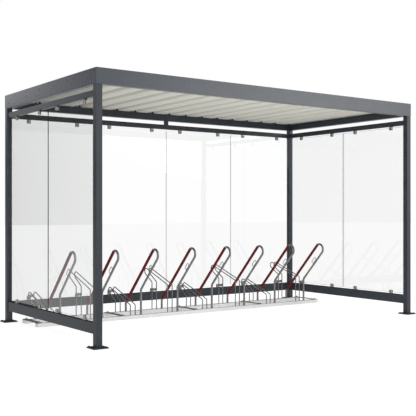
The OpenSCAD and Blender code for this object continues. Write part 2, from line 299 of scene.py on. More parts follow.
def galvanised(name, low, high, roughness, metallic):
    """Hot-dip zinc: spangles of different tone and gloss, and slow runs of the bath."""
    f = Finish(name, Metallic=metallic)
    warp = f.node("VectorMath", {0: f.place}, operation="ADD")
    swirl = f.node("TexNoise", {"Vector": f.place, "Scale": 30.0})
    small = f.node("VectorMath", {0: swirl.outputs["Color"], "Scale": 0.012}, operation="SCALE")
    f.tree.links.new(small.outputs["Vector"], warp.inputs[1])
    cells = f.node("TexVoronoi", {"Vector": warp.outputs["Vector"], "Scale": 90.0})
    spangle = f.node("SeparateColor", {"Color": cells.outputs["Color"]}).outputs["Red"]
    cloud = f.noise(7, 3)
    tone = f.math("ADD", f.math("MULTIPLY", spangle, 0.6), f.math("MULTIPLY", cloud, 0.4))
    f.link(f.blend(f.ranged(tone, 0, 1, 0.1, 0.8), (low, low, low), (high, high, high)),
           "Base Color")
    f.link(f.ranged(spangle, roughness - 0.06, roughness + 0.08), "Roughness")
    f.bump(f.noise(160, 3), 0.15, 0.3 * MM)
    return f.material


def brushed_steel(name, colour, across):
    """Ground steel. Its grain runs along the axis whose scale, of the three across, is small."""
    f = Finish(name, Metallic=1.0, Anisotropic=0.4)
    grain = f.noise(1.0, 3, 0.6, f.stretched(*across))
    f.link(f.blend(f.ranged(grain, 0, 1, 0.3, 0.7), shade(colour, 0.82), shade(colour, 1.12)),
           "Base Color")
    f.link(f.ranged(grain, 0.24, 0.42, 0.3, 0.7), "Roughness")
    f.bump(grain, 0.1, 0.1 * MM)
    return f.material


def coated_sheet(name, colour):
    """Coil-coated roof sheet with a fleece-like grain and faint runs along its length. Painted
    shade darkens it with the height above the pans, inside the ribs."""
    f = Finish(name, Roughness=0.62, Specular_IOR_Level=0.3)
    grain = f.noise(260, 4, 0.7)
    streaks = f.noise(1.0, 3, 0.6, f.stretched(26, 1.2, 8))
    tone = f.blend(f.ranged(streaks, 0, 1, 0.3, 0.7), shade(colour, 0.94), shade(colour, 1.04))
    coat = f.blend(f.ranged(grain, 0, 0.35, 0.45, 0.75), tone, shade(colour, 0.8))
    height = f.node("SeparateXYZ", {"Vector": f.place}).outputs["Z"]
    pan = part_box("roof_sheet_1")[0].z
    # Painted shade: darker with the height above the pans, for the shade in the ribs' hollows
    rib_shade = f.ranged(height, 0, 0.24, pan + 2 * MM, pan + 30 * MM)
    f.link(f.blend(rib_shade, coat, RIB_SHADE), "Base Color")
    f.bump(grain, 0.2, 0.3 * MM)
    return f.material


def clear_glass(name, tint):
    """Toughened glass with faint roller waves. Light passes as through air where a shadow ray
    meets it."""
    f = Finish(name, Base_Color=(*tint, 1), Roughness=0.0, IOR=1.5, Transmission_Weight=1.0)
    f.bump(f.noise(1.0, 1, 0.4, f.stretched(1.5, 1.5, 5.0)), 0.03, 0.4 * MM)
    shadow = f.node("LightPath").outputs["Is Shadow Ray"]
    through = f.node("BsdfTransparent", {"Color": (0.93, 0.955, 0.95, 1)})
    mix = f.node("MixShader", {"Fac": shadow, 1: f.shader.outputs["BSDF"],
                               2: through.outputs["BSDF"]})
    f.tree.links.new(mix.outputs["Shader"], f.output.inputs["Surface"])
    return f.material


def shaded_glass_edge(name):
    """Ground edge of a pane, coated opaque nearly black with a little green: the green is the
    glass's own, the near-black is painted shade for the dark look of glass seen edge-on.
    """
    f = Finish(name, Specular_IOR_Level=0.5, Roughness=0.25)
    grain = f.noise(1.0, 2, 0.5, f.stretched(300, 300, 8))
    f.link(f.blend(grain, (0.012, 0.020, 0.018), (0.025, 0.036, 0.033)), "Base Color")
    return f.material


def rubber(name, colour=(0.018, 0.018, 0.019)):
    """Dull black rubber or foam with a fine grain."""
    f = Finish(name, Specular_IOR_Level=0.35)
    grain = f.noise(500, 3)
    f.link(f.blend(grain, shade(colour, 0.7), shade(colour, 1.4)), "Base Color")
    f.link(f.ranged(grain, 0.6, 0.85, 0.3, 0.7), "Roughness")
    f.bump(grain, 0.3, 0.2 * MM)
    return f.material


def reflective_film(name, light, dark, stripe, run):
    """Red reflective film: bands of light and dark red, a stripe apart, cross the run."""
    f = Finish(name, Specular_IOR_Level=0.1)
    along = f.node("VectorMath", {0: f.place, 1: run}, operation="DOT_PRODUCT").outputs["Value"]
    wave = f.math("SINE", f.math("MULTIPLY", along, 2 * math.pi / stripe))
    beads = f.node("TexVoronoi", {"Vector": f.place, "Scale": 450.0}).outputs["Distance"]
    turns = f.ranged(wave, 0, 1, -0.5, 0.5)
    tone = f.blend(turns, dark, light)
    f.link(f.blend(f.ranged(beads, 0, 0.4, 0.2, 0.6), tone, shade(dark, 0.7)), "Base Color")
    f.link(f.ranged(beads, 0.28, 0.45, 0.1, 0.6), "Roughness")
    f.bump(beads, 0.15, 0.2 * MM)
    return f.material


frame_coat = powder_coat("frame_coat", (0.025, 0.032, 0.042), 0.36, 0.45)
fascia_coat = powder_coat("fascia_coat", (0.055, 0.063, 0.076), 0.28, 0.45)
roof_finish = coated_sheet("roof_finish", (0.645, 0.635, 0.57))
# The side panes' tint is a little darker than the rear panes': painted shade for the darker look
# of the side walls seen at a slant
side_glass = clear_glass("side_glass", (0.98, 0.985, 0.982))
rear_glass = clear_glass("rear_glass", (0.985, 0.99, 0.988))
pane_edge_shade = shaded_glass_edge("pane_edge_shade")
stainless = brushed_steel("stainless", (0.52, 0.50, 0.46), (250, 250, 12))
fixings = brushed_steel("fixings", (0.50, 0.50, 0.49), (90, 90, 90))
dark_steel = brushed_steel("dark_steel", (0.075, 0.078, 0.082), (90, 90, 90))
zinc = galvanised("zinc", 0.22, 0.32, 0.34, 0.85)
zinc_bar = galvanised("zinc_bar", 0.20, 0.29, 0.30, 0.85)
zinc_flat = galvanised("zinc_flat", 0.70, 0.80, 0.42, 0.35)
dark_rubber = rubber("dark_rubber")
foam = rubber("foam", (0.020, 0.020, 0.021))
red_film = reflective_film("red_film", (0.21, 0.012, 0.016), (0.105, 0.010, 0.013), 19 * MM,
                           (LEAN + 0.75 * X).normalized())


# ---------------------------------------------------------------- the CAD nodes that stay


def finish_node(node, material, bevel):
    """Gives a CAD node its material, and rounds its edges without touching its mesh."""
    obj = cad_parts[node]
    for slot in obj.material_slots:
        slot.material = material
    weld = obj.modifiers.new("weld", "WELD")
    weld.merge_threshold = 0.02 * MM
    flat = obj.modifiers.new("flat", "DECIMATE")
    flat.decimate_type = "DISSOLVE"
    flat.angle_limit = math.radians(1)
    add_bevel(obj, bevel)


def finish_frame():
    """Coats the steel frame and the fascia, and galvanises the rack's rails and cross bars."""
    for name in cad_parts:
        if name.endswith(("_post", "_roof_beam", "_rail", "_hanger")) and "rack" not in name:
            finish_node(name, frame_coat, 1.4 * MM)
        elif name.endswith("_fascia"):
            finish_node(name, fascia_coat, 1.2 * MM)
    for name in ("rack_front_rail", "rack_rear_rail"):
        finish_node(name, zinc_flat, 1.2 * MM)
    finish_node("rack_cross_bars", zinc, 1.2 * MM)


# ---------------------------------------------------------------- welds and anchors

WELD_R = 3 * MM
WELD_STEP = 4 * MM
POST_W = 60 * MM
TUBE_CORNER = 3 * MM
ANCHOR_AT = 55 * MM
PLATE_TOP = 10 * MM
WASHER_T = 2 * MM


def post_axis(corner):
    """Middle of a post, which is also the middle of its base plate."""
    return middle(f"{corner}_post")


def weld_ring(shape, centre, u, v, w, h):
    """Bead of weld round a tube w by h whose end meets a face in the plane of u and v."""
    side = Vector(u).cross(Vector(v))
    outline = rounded(w, h, TUBE_CORNER, 3)
    path = []
    for k, (a, b) in enumerate(outline):
        c, d = outline[(k + 1) % len(outline)]
        steps = max(1, round(math.hypot(c - a, d - b) / WELD_STEP))
        path += [(a + (c - a) * i / steps, b + (d - b) * i / steps) for i in range(steps)]
    points = [Vector(centre) + a * Vector(u) + b * Vector(v) for a, b in path]
    sweep(shape, points, lambda k: WELD_R * (1.12 if k % 2 else 0.9), side, 8, closed=True)


def frame_welds():
    """Beads at both ends of the posts, of the rails and of the hanger."""
    beads = Shape()
    post_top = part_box("front_left_post")[1].z
    cap_w = POST_W - 3 * MM
    for corner in CORNERS:
        post = post_axis(corner)
        weld_ring(beads, (post.x, post.y, PLATE_TOP + 1 * MM), X, Y, POST_W, POST_W)
        weld_ring(beads, (post.x, post.y, post_top - 1 * MM), X, Y, cap_w, cap_w)
    for level in ("upper", "lower"):
        lo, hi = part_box(f"rear_{level}_rail")
        mid = (lo + hi) / 2
        for x, out in ((lo.x, 1), (hi.x, -1)):
            weld_ring(beads, (x + out * MM, mid.y, mid.z), Y, Z, hi.y - lo.y, hi.z - lo.z)
        for side in SIDES:
            lo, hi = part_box(f"{side}_{level}_rail")
            mid = (lo + hi) / 2
            for y, out in ((lo.y, 1), (hi.y, -1)):
                weld_ring(beads, (mid.x, y + out * MM, mid.z), X, Z, hi.x - lo.x, hi.z - lo.z)
    lo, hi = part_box("rear_rail_hanger")
    mid = (lo + hi) / 2
    for z, out in ((lo.z, 1), (hi.z, -1)):
        weld_ring(beads, (mid.x, mid.y, z + out * MM), X, Y, hi.x - lo.x, hi.y - lo.y)
    piece("frame_welds", beads, frame_coat, smooth=60, slot="frame_paint")


def threaded(shape, centre, radius, length):
    """Threaded stud, its thread drawn as close rings and its end chamfered."""
    pitch = 1.75 * MM
    turns = int(length / pitch) - 1
    profile = [(radius, 0)]
    for k in range(turns):
        z = k * pitch
        profile += [(radius, z + 0.2 * MM), (radius - 0.9 * MM, z + pitch / 2)]
    profile += [(radius, turns * pitch), (radius, length - 1.2 * MM),
                (radius - 1.4 * MM, length)]
    lathe(shape, profile, centre, sides=16)


def nut(shape, centre, across, height):
    """Hexagon nut or bolt head with chamfered corners."""
    r = across / 2 / math.cos(math.pi / 6)
    lathe(shape, [(r * 0.93, 0), (r, height * 0.14), (r, height * 0.86), (r * 0.93, height)],
          centre, sides=6)


def washer(shape, centre, radius, height):
    """Flat washer with its edges eased."""
    lathe(shape, [(radius - 0.3 * MM, 0), (radius, 0.3 * MM), (radius, height - 0.5 * MM),
                  (radius - 0.5 * MM, height)], centre, sides=28)


def post_anchors():
    """Heads of four M12 anchor bolts with washers on each base plate."""
    for corner in CORNERS:
        shape = Shape()
        post = post_axis(corner)
        for ax in (-1, 1):
            for ay in (-1, 1):
                at = Vector((post.x + ax * ANCHOR_AT, post.y + ay * ANCHOR_AT, PLATE_TOP))
                washer(shape, at, 11 * MM, WASHER_T)
                nut(shape, at + WASHER_T * Z, 18 * MM, 5.5 * MM)
        piece(f"{corner}_anchors", shape, dark_steel, smooth=30)


# ---------------------------------------------------------------- roof

RIB_PITCH = 243.2 * MM
RIB_FIRST = 110 * MM
RIB_H, RIB_CROWN, RIB_FOOT = 36 * MM, 42 * MM, 98 * MM
RIB_GROOVE, RIB_GROOVE_W = 1.6 * MM, 10 * MM
RIBS = 17
SHEETS = 4
SHEET_T = 1.5 * MM
SHEET_DRAWN_T = 0.8 * SHEET_T
BEND_R = 5 * MM
# The screws' line over a beam, as a share of the distance to the beam's middle
SCREW_LINE = 0.985
RIB_TO_SCREW = 18 * MM
RIVET_DEPTH = 2.2 * MM


def rib_x(i):
    """Place of a rib's middle along X."""
    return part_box("front_fascia")[0].x + RIB_FIRST + i * RIB_PITCH


def filleted(points, radius, steps=4):
    """Open outline with its inner corners rounded."""
    out = [points[0]]
    for a, p, b in zip(points, points[1:], points[2:]):
        a, p, b = Vector(a), Vector(p), Vector(b)
        da, db = (a - p).normalized(), (b - p).normalized()
        half = da.angle(db) / 2
        cut = min(radius / math.tan(half), (a - p).length * 0.48, (b - p).length * 0.48)
        start, end = p + da * cut, p + db * cut
        out += [tuple(start * (1 - t) ** 2 + p * 2 * t * (1 - t) + end * t * t)
                for t in (k / steps for k in range(steps + 1))]
    out.append(points[-1])
    return out


def roof_sheets():
    """The ribbed sheets with rounded bends, grooved crowns and a lap at each joint."""
    for n in range(SHEETS):
        lo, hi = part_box(f"roof_sheet_{n + 1}")
        end = hi.x
        points = [(lo.x + 0.3 * MM, 0)]
        for i in range(n * RIBS // SHEETS, (n + 1) * RIBS // SHEETS):
            x = rib_x(i)
            points += [(x - RIB_FOOT / 2, 0), (x - RIB_CROWN / 2, RIB_H),
                       (x - RIB_GROOVE_W / 2, RIB_H), (x, RIB_H - RIB_GROOVE),
                       (x + RIB_GROOVE_W / 2, RIB_H),
                       (x + RIB_CROWN / 2, RIB_H), (x + RIB_FOOT / 2, 0)]
        if n < SHEETS - 1:
            lap = SHEET_T + 0.2 * MM
            points += [(end - 8 * MM, 0), (end - 1 * MM, lap), (end + 20 * MM, lap)]
        else:
            points += [(end - 0.3 * MM, 0)]
        under = filleted(points, BEND_R)
        over = [(x, z + SHEET_DRAWN_T) for x, z in under]
        outline = under + over[::-1]
        shape = Shape()
        sheet_profile(shape, outline, len(under), lo, hi)
        piece(f"roof_sheet_{n + 1}_formed", shape, roof_finish, smooth=24, slot="roof_coating",
              replaces=[f"roof_sheet_{n + 1}"])


def sheet_profile(shape, outline, half, lo, hi):
    """Thin sheet between the lower and the upper line of an outline, along Y."""
    rings = [[Vector((x, y, lo.z + z)) for x, z in outline] for y in (lo.y, hi.y)]
    n = len(outline)
    points = rings[0] + rings[1]
    skin = [(i, (i + 1) % n, n + (i + 1) % n, n + i) for i in range(n)]
    ends = []
    for base in (0, n):
        ends += [(base + i, base + i + 1, base + n - 2 - i, base + n - 1 - i)
                 for i in range(half - 1)]
    shape.add(points, skin + ends)


def rib_fillers():
    """Profiled foam that closes each rib over the front and the rear beam, held by a clip."""
    blocks, clips = Shape(), Shape()
    depth, clip_t = 30 * MM, 2 * MM
    half_foot, half_crown = RIB_FOOT / 2 - 2 * MM, RIB_CROWN / 2 - 1 * MM
    top = RIB_H - 1 * MM
    block = [(-half_foot, 0), (half_foot, 0), (half_crown, top), (-half_crown, top)]
    clip = [(a, b + 9 * MM) for a, b in rounded(20 * MM, 17 * MM, 2 * MM, 2)]
    for beam, sign in (("front_roof_beam", 1), ("rear_roof_beam", -1)):
        lo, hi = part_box(beam)
        inner = (hi.y if sign > 0 else lo.y) - sign * 1 * MM
        for i in range(RIBS):
            for shape, outline, start, t in ((clips, clip, inner, clip_t),
                                             (blocks, block, inner - sign * clip_t, depth)):
                rearmost = max(start, start - sign * t)
                slab(shape, outline, (rib_x(i), rearmost, hi.z), X, Z, t)
    piece("rib_fillers", blocks, foam, bevel=1 * MM)
    piece("rib_clips", clips, fixings, bevel=0.5 * MM)


def sheet_screw(shape, at):
    """Self-drilling screw: sealing washer and hexagon head with its collar."""
    lathe(shape, [(7.5 * MM, 0), (8 * MM, 1.5 * MM), (6.5 * MM, 2.4 * MM)], at, sides=20, slot=1)
    lathe(shape, [(6.6 * MM, 2.4 * MM), (6.6 * MM, 3.2 * MM), (5 * MM, 3.5 * MM)], at, sides=20)
    nut(shape, at + 3.3 * MM * Z, 8 * MM, 4.5 * MM)


def roof_screws():
    """Screws beside each rib, in the pans over the front and rear beams."""
    shape = Shape()
    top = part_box("roof_sheet_1")[0].z + SHEET_DRAWN_T
    last_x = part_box("roof_sheet_4")[1].x - 10 * MM
    for beam in ("front_roof_beam", "rear_roof_beam"):
        y = middle(beam).y * SCREW_LINE
        for i in range(RIBS):
            for side in (-1, 1):
                at = Vector((rib_x(i) + side * (RIB_FOOT / 2 + RIB_TO_SCREW), y, top))
                if abs(at.x) < last_x:
                    sheet_screw(shape, at)
    piece("roof_screws", shape, fixings, dark_rubber, smooth=30)


def fascia_rivets():
    """Rivets along the fascia's upper flange on all four sides, sunk into it so that they
    stay within its height."""
    rivets = Shape()
    half_w, half_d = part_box("front_fascia")[1].x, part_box("rear_fascia")[1].y
    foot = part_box("front_fascia")[1].z - RIVET_DEPTH
    inset, end, spacing = 32 * MM, 60 * MM, 450 * MM
    for turn_x, length, across in ((True, half_w, half_d), (False, half_d, half_w)):
        count = max(2, round(2 * length / spacing))
        for k in range(count + 1):
            along = -length + end + 2 * (length - end) * k / count
            for sign in (-1, 1):
                off = sign * (across - inset)
                at = Vector((along, off, foot) if turn_x else (off, along, foot))
                lathe(rivets, [(5.5 * MM, 0), (5.2 * MM, 0.7 * MM), (4 * MM, 1.5 * MM),
                               (2 * MM, 2 * MM)], at, sides=16)
    piece("fascia_rivets", rivets, fascia_coat, smooth=40, slot="fascia_paint")


# ---------------------------------------------------------------- glass

# Thickness of the panes, and the gap between a pane and its rail
GLASS_T, GLASS_GAP = 8 * MM, 15 * MM
PANE_CORNER = 4 * MM
REAR_CHAMFER, SIDE_CHAMFER = 0.7 * MM, 2.4 * MM
CLAMP_W, CLAMP_H, CLAMP_D = 45 * MM, 42 * MM, 26 * MM
PAD_T = 1.5 * MM
SCREW_UP_CLAMP = 0.64


def glass_panes():
    """Panes with ground and chamfered edges in place of the plain ones."""
    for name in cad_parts:
        if "_glass_" not in name or name.endswith("clamps"):
            continue
        rear = name.startswith("rear")
        chamfer = REAR_CHAMFER if rear else SIDE_CHAMFER
        lo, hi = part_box(name)
        mid, size = (lo + hi) / 2, hi - lo
        u = X if size.x > size.y else Y
        n = u.cross(Z)
        w, h, t = max(size.x, size.y), size.z, min(size.x, size.y)
        rings = []
        for depth, inset in ((-t / 2, chamfer), (-t / 2 + chamfer, 0), (t / 2 - chamfer, 0),
                             (t / 2, chamfer)):
            outline = rounded(w - 2 * inset, h - 2 * inset, PANE_CORNER - inset)
            rings.append([mid + a * u + b * Z + depth * n for a, b in outline])
        shape = Shape()
        shape.loft(rings, slot=1, cap_slot=0)
        # The side panes' edges get the near-black coat, which is painted shade; the rear panes'
        # edges stay clear glass
        looks = (rear_glass, rear_glass) if rear else (side_glass, pane_edge_shade)
        piece(f"{name}_pane", shape, *looks, smooth=20, slot="glass", replaces=[name])


def glass_clamp(steel, pads, foot, up, along):
    """Clamp on a rail: a base block, and a jaw with a rubber pad on each side of the glass.
    foot is on the rail, up leads towards the glass."""
    out = along.cross(up)
    jaw_t = (CLAMP_D - GLASS_T) / 2 - PAD_T
    jaw = [(a, b + CLAMP_H / 2) for a, b in rounded(CLAMP_W - 6 * MM, CLAMP_H, 7 * MM, 5)]
    pad = [(a, b + (CLAMP_H + GLASS_GAP) / 2)
           for a, b in rounded(CLAMP_W, CLAMP_H - GLASS_GAP, 6 * MM, 4)]
    for sign in (-1, 1):
        inner = foot + sign * (GLASS_T / 2 + PAD_T) * out
        start = inner if sign > 0 else inner - jaw_t * out
        slab(steel, jaw, start, along, up, jaw_t)
        start = foot + (GLASS_T / 2 if sign > 0 else -GLASS_T / 2 - PAD_T) * out
        slab(pads, pad, start, along, up, PAD_T)
    base = [(a, b + GLASS_GAP / 2 - 1 * MM) for a, b in
            rounded(CLAMP_W - 10 * MM, GLASS_GAP - 2 * MM, 1 * MM, 2)]
    slab(steel, base, foot - (GLASS_T / 2 + PAD_T) * out, along, up, GLASS_T + 2 * PAD_T)


def clamp_screw(shape, socket, foot, up, along):
    """Button-head screw on the outer face of each jaw, with its socket as a dark hexagon."""
    out = along.cross(up)
    height = CLAMP_H * SCREW_UP_CLAMP
    for sign in (-1, 1):
        face = foot + height * up + sign * (CLAMP_D / 2 - 0.3 * MM) * out
        lathe(shape, [(6.5 * MM, 0), (6.3 * MM, 0.6 * MM), (5 * MM, 1.5 * MM),
                      (3.6 * MM, 1.9 * MM)], face, sign * out, 20)
        lathe(socket, [(3.1 * MM, 0.4 * MM), (3.1 * MM, 1.95 * MM)], face, sign * out, 6)


def glass_clamps():
    """Clamps in place of the plain ones: under the upper rails and on the lower ones."""
    for wall, along in (("rear", X), ("left", Y), ("right", Y)):
        node = f"{wall}_glass_clamps"
        steel, pads, screws, sockets = Shape(), Shape(), Shape(), Shape()
        for lo, hi in solids(node):
            mid = (lo + hi) / 2
            on_lower_rail = mid.z < middle("left_glass_front").z
            foot = Vector((mid.x, mid.y, lo.z if on_lower_rail else hi.z))
            up = Z if on_lower_rail else -Z
            glass_clamp(steel, pads, foot, up, along)
            clamp_screw(screws, sockets, foot, up, along)
        piece(f"{wall}_clamp_jaws", steel, stainless, bevel=1.6 * MM, slot="clamp_steel",
              replaces=[node])
        piece(f"{wall}_clamp_pads", pads, dark_rubber, bevel=0.4 * MM, segments=1)
        piece(f"{wall}_clamp_screws", screws, fixings, smooth=40, slot="clamp_steel")
        piece(f"{wall}_clamp_sockets", sockets, dark_rubber)


# ---------------------------------------------------------------- rack

# Hoops and wheel holders come in pairs, numbered from the left
PAIRS = (1, 2, 3, 4)

# Hoop tube, the middle-line gap between its legs, and the lower bends; the red sleeve starts
# over the rear bend and goes SLEEVE_TURN degrees into the half circle
TUBE_R = 12.5 * MM
HOOP_GAP = 125 * MM
HOOP_BEND_R = 45 * MM
HOOP_BEND_Z = 144 * MM
SLEEVE_T = 3.5 * MM
SLEEVE_EASE = 0.6 * MM
SLEEVE_START = 24 * MM
SLEEVE_TURN = 20
EYELET_W, EYELET_H = 44 * MM, 90 * MM
EYELET_WIRE_R = 3.5 * MM
EYELET_UP_LEG = 0.64

# Holder bars, the slopes of their two straights in degrees, the place of a loop's middle
# behind the rear rail, and the height of the high holder over the low one
BAR_R = 6 * MM
HOLDER_GAP = 62 * MM
HOLDER_BEND_R = 25 * MM
LOOP_R = 36 * MM
BACK_SLOPE, FRONT_SLOPE = 30, 19
REACH = 130 * MM
RISE = 199 * MM
PLATE_T = 5 * MM
PLATE_H = 30 * MM
PLATE_DROP = 9 * MM


def direction(angle):
    """Unit vector in (y, z) at an angle in degrees over +Y."""
    return Vector((math.cos(math.radians(angle)), math.sin(math.radians(angle))))


def rack_levels():
    """(y of the rear rail's middle, y of the front rail's, height of their tops)."""
    return middle("rack_rear_rail").y, middle("rack_front_rail").y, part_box("rack_rear_rail")[1].z


def hoop_frame():
    """Of a hoop, in (y, z): lower bend and upper end of its rear leg and of its front leg,
    the direction up the legs, and the one from the rear leg to the front leg."""
    rear_y, front_y, _ = rack_levels()
    lean = Vector((LEAN.y, LEAN.z))
    across = Vector((-LEAN.z, LEAN.y))
    top_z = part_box("rack_hoops_1")[1].z - HOOP_GAP / 2 - TUBE_R
    rear_bend = Vector((rear_y, HOOP_BEND_Z))
    rear_top = rear_bend + (top_z - HOOP_GAP / 2 * across.y - rear_bend.y) / lean.y * lean
    front_top = rear_top + HOOP_GAP * across
    front_bend = front_top - (front_y - front_top.x) / -lean.x * lean
    return rear_bend, rear_top, front_bend, front_top, lean, across


def hoop_path():
    """Middle line of a hoop's tube in (y, z), from its rear foot over the top to the front."""
    rear_bend, rear_top, front_bend, _, _, across = hoop_frame()
    foot = rack_levels()[2]
    turn = 90 - math.degrees(HOOP_ANGLE)
    run = HOOP_BEND_R * math.tan(math.radians(turn) / 2)
    side = Vector((-HOOP_BEND_R, -run))
    path = [(rear_bend.x, foot)] + arc(rear_bend + side, HOOP_BEND_R, 0, turn, 8)
    path += arc(rear_top + HOOP_GAP / 2 * across, HOOP_GAP / 2, turn, 180, 28)
    path += arc(front_bend + side, HOOP_BEND_R, turn, -turn, 8) + [(front_bend.x, foot)]
    return path


def in_plane(path, x):
    """Points (y, z) set up in the plane at x."""
    return [Vector((x, y, z)) for y, z in path]


def foot_bead(shape, at, radius):
    """Weld round the foot of a tube on a rail."""
    ring = [at + (radius + 0.5 * MM) * (math.cos(a) * X + math.sin(a) * Y)
            for a in circle_angles(28)]
    sweep(shape, ring, lambda k: (2.9 if k % 2 else 2.3) * MM, Z, 8, closed=True)


def hoop_xs(m):
    """Places along X of the two hoops of a pair."""
    lo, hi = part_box(f"rack_hoops_{m}")
    return lo.x + TUBE_R, hi.x - TUBE_R


def leaning_hoops():
    """Tubes of the hoops in place of the plain ones, with welds, eyelets and red sleeves."""
    rear_bend, rear_top, front_bend, front_top, lean, across = hoop_frame()
    rear_y, front_y, foot = rack_levels()
    path = hoop_path()
    for m in PAIRS:
        tubes, beads, eyelets, film = Shape(), Shape(), Shape(), Shape()
        for x in hoop_xs(m):
            sweep(tubes, in_plane(path, x), TUBE_R, X, 28)
            for y in (rear_y, front_y):
                foot_bead(beads, Vector((x, y, foot)), TUBE_R)
            sleeve(film, x, rear_bend, rear_top, lean, across)
            eyelet(eyelets, x, front_bend, front_top, lean, across)
        piece(f"leaning_hoops_{m}", tubes, zinc, smooth=50, slot="zinc",
              replaces=[f"rack_hoops_{m}"])
        piece(f"hoop_welds_{m}", beads, zinc, smooth=60, slot="zinc")
        piece(f"hoop_eyelets_{m}", eyelets, zinc_bar, smooth=60, slot="zinc")
        piece(f"red_sleeves_{m}", film, red_film, smooth=40)


def sleeve(shape, x, rear_bend, rear_top, lean, across):
    """Red sleeve along the rear leg, from just over its bend into the half circle."""
    start = rear_bend + SLEEVE_START * lean
    turn = 90 - math.degrees(HOOP_ANGLE)
    path = [start, start + SLEEVE_EASE * lean, rear_top - 60 * MM * lean]
    path += arc(rear_top + HOOP_GAP / 2 * across, HOOP_GAP / 2, turn, SLEEVE_TURN, 6)
    ends = (0, len(path) - 1)
    outer = TUBE_R + SLEEVE_T
    sweep(shape, in_plane(path, x), lambda k: outer - (SLEEVE_EASE if k in ends else 0), X, 32)


def eyelet(shape, x, front_bend, front_top, lean, across):
    """Long wire ring between the legs for a lock, welded to the front leg."""
    w, h = EYELET_W - 2 * EYELET_WIRE_R, EYELET_H - 2 * EYELET_WIRE_R
    at = front_bend + (front_top - front_bend) * EYELET_UP_LEG
    at -= across * (TUBE_R + EYELET_W / 2 - 1 * MM)
    ring = [at + a * across + b * lean for a, b in rounded(w, h, w / 2, 8)]
    sweep(shape, in_plane(ring, x), EYELET_WIRE_R, X, 14, closed=True)


def holder_path(rise, low_top):
    """One bar of a wheel holder in (y, z): rear leg, back slope, loop, front slope, front leg.
    The loop's top is rise over low_top."""
    rear_y, front_y, foot = rack_levels()
    back, front = direction(BACK_SLOPE), -direction(FRONT_SLOPE)
    loop = Vector((rear_y + REACH, low_top + rise - BAR_R - LOOP_R))
    back_top = loop + LOOP_R * Vector((back.y, -back.x))
    rear_bend = back_top - (back_top.x - rear_y) / back.x * back
    front_top = loop + LOOP_R * Vector((front.y, -front.x))
    front_bend = front_top + (front_top.x - front_y) / -front.x * front
    rear_turn, front_turn = 90 - BACK_SLOPE, 90 - FRONT_SLOPE
    rear_run = HOLDER_BEND_R * math.tan(math.radians(rear_turn) / 2)
    front_run = HOLDER_BEND_R * math.tan(math.radians(front_turn) / 2)
    path = [(rear_y, foot)]
    path += arc(rear_bend + Vector((HOLDER_BEND_R, -rear_run)), HOLDER_BEND_R, 180,
                -rear_turn, 10)
    path += arc(loop, LOOP_R, BACK_SLOPE - 90, 180 + FRONT_SLOPE - BACK_SLOPE, 22)
    path += arc(front_bend + Vector((HOLDER_BEND_R, -front_run)), HOLDER_BEND_R,
                180 - front_turn, front_turn, 10)
    return path + [(front_y, foot)]


def wheel_holders():
    """Bars of a low and a high holder for each pair, with their welds and joining plates."""
    rear_y, front_y, foot = rack_levels()
    half = HOLDER_GAP / 2 + BAR_R
    for m in PAIRS:
        node = f"wheel_holders_{m}"
        lo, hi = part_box(node)
        low_top = hi.z - RISE
        bars, beads, plates = Shape(), Shape(), Shape()
        for x, rise in ((lo.x + half, 0), (hi.x - half, RISE)):
            path = holder_path(rise, low_top)
            for side in (-1, 1):
                bar_x = x + side * HOLDER_GAP / 2
                sweep(bars, in_plane(path, bar_x), BAR_R, X, 16)
                for y in (rear_y, front_y):
                    foot_bead(beads, Vector((bar_x, y, foot)), BAR_R)
            y = rear_y + (0 if rise else REACH + LOOP_R) + BAR_R + PLATE_T - 1 * MM
            z = low_top - BAR_R - LOOP_R - PLATE_DROP
            slab(plates, rounded(2 * half, PLATE_H, 4 * MM), (x, y, z), X, Z, PLATE_T)
        piece(f"holder_bars_{m}", bars, zinc_bar, smooth=50, slot="zinc", replaces=[node])
        piece(f"holder_welds_{m}", beads, zinc_bar, smooth=60, slot="zinc")
        piece(f"holder_plates_{m}", plates, zinc, bevel=0.8 * MM, slot="zinc")


def rack_anchors():
    """Anchor bolts with washers through the cross bars, and the welds of the bars."""
    bolts, beads = Shape(), Shape()
    rear_y, front_y, foot = rack_levels()
    rail_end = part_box("rack_rear_rail")[1].x - 5 * MM
    steps = 12
    for lo, hi in solids("rack_cross_bars"):
        x = (lo.x + hi.x) / 2
        for y in (rear_y, front_y):
            at = Vector((x, y, hi.z))
            washer(bolts, at, 10 * MM, WASHER_T)
            nut(bolts, at + WASHER_T * Z, 16 * MM, 6.5 * MM)
            threaded(bolts, at, 4.9 * MM, 16 * MM)
            for edge in (lo.x, hi.x):
                line = [Vector((edge, y + (k - steps / 2) * WELD_STEP, foot))
                        for k in range(steps + 1)]
                if abs(edge) < rail_end:
                    sweep(beads, line, lambda k: (2.8 if k % 2 else 2.2) * MM, Z, 8)
    piece("rack_anchor_bolts", bolts, fixings, smooth=30)
    piece("cross_bar_welds", beads, zinc, smooth=60, slot="zinc")


# ---------------------------------------------------------------- stage, light and camera

# Light that the floor gives off to the eye, to other surfaces, and to gloss
FLOOR_SEEN = 0.82
FLOOR_BOUNCE = 0.98
FLOOR_IN_GLOSS = 0.62

# The world lights surfaces most from above the front right, and gloss finds it dark towards
# the rear left
LIGHT_SIDE = Vector((0.45, -0.55, 0.70)).normalized()
AMBIENT_LOW, AMBIENT_HIGH = 0.0, 0.92
DARK_SIDE = Vector((-0.62, 0.78, 0.0)).normalized()
GLOSS_DARK = 0.03


